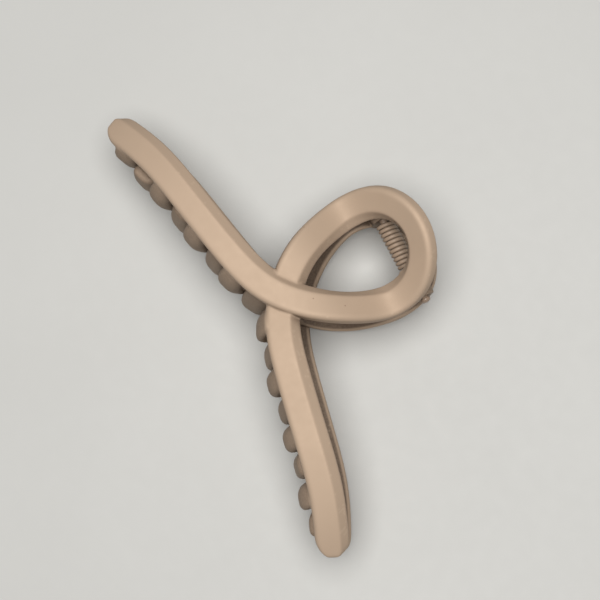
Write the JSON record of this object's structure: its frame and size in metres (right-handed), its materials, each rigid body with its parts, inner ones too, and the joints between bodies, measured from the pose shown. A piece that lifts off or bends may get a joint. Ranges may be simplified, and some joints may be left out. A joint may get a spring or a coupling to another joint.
{
  "type": "claw clip",
  "caption": "Large hair claw clip: two looped jaws with rounded teeth along their arms, on a pinned hinge with a torsion spring that holds them shut.",
  "frame": {"origin": "centre of the footprint, at the height of the surface that the closed clip lies on", "axes": "+X along the jaws, the clip's long way and the hinge pin's direction; +Y from the teeth towards the finger loops; +Z from the rear jaw that it lies on up to the front jaw"},
  "size_m": [0.125, 0.0618, 0.0335],
  "materials": {
    "jaw_plastic": "soft-touch matte tan coating, faint speckle, moulded edges",
    "coated_pin": "steel pin, coated the same tan",
    "coated_wire": "spring wire, coated the same tan"
  },
  "bodies": {
    "rear_half": {"rear_jaw": "jaw_plastic", "hinge_pin": "coated_pin", "torsion_spring": "coated_wire"},
    "front_half": {"front_jaw": "jaw_plastic"}
  },
  "joints": [
    {"name": "jaw_hinge", "type": "hinge", "parent": "rear_half", "child": "front_half", "pos_m": [0, 0.02155, 0.01677], "axis": [-1, 0, 0], "range_deg": [0, 75], "stiffness_Nm_per_rad": 0.2, "springref_deg": -20.05, "deforming": ["torsion_spring"]}
  ]
}
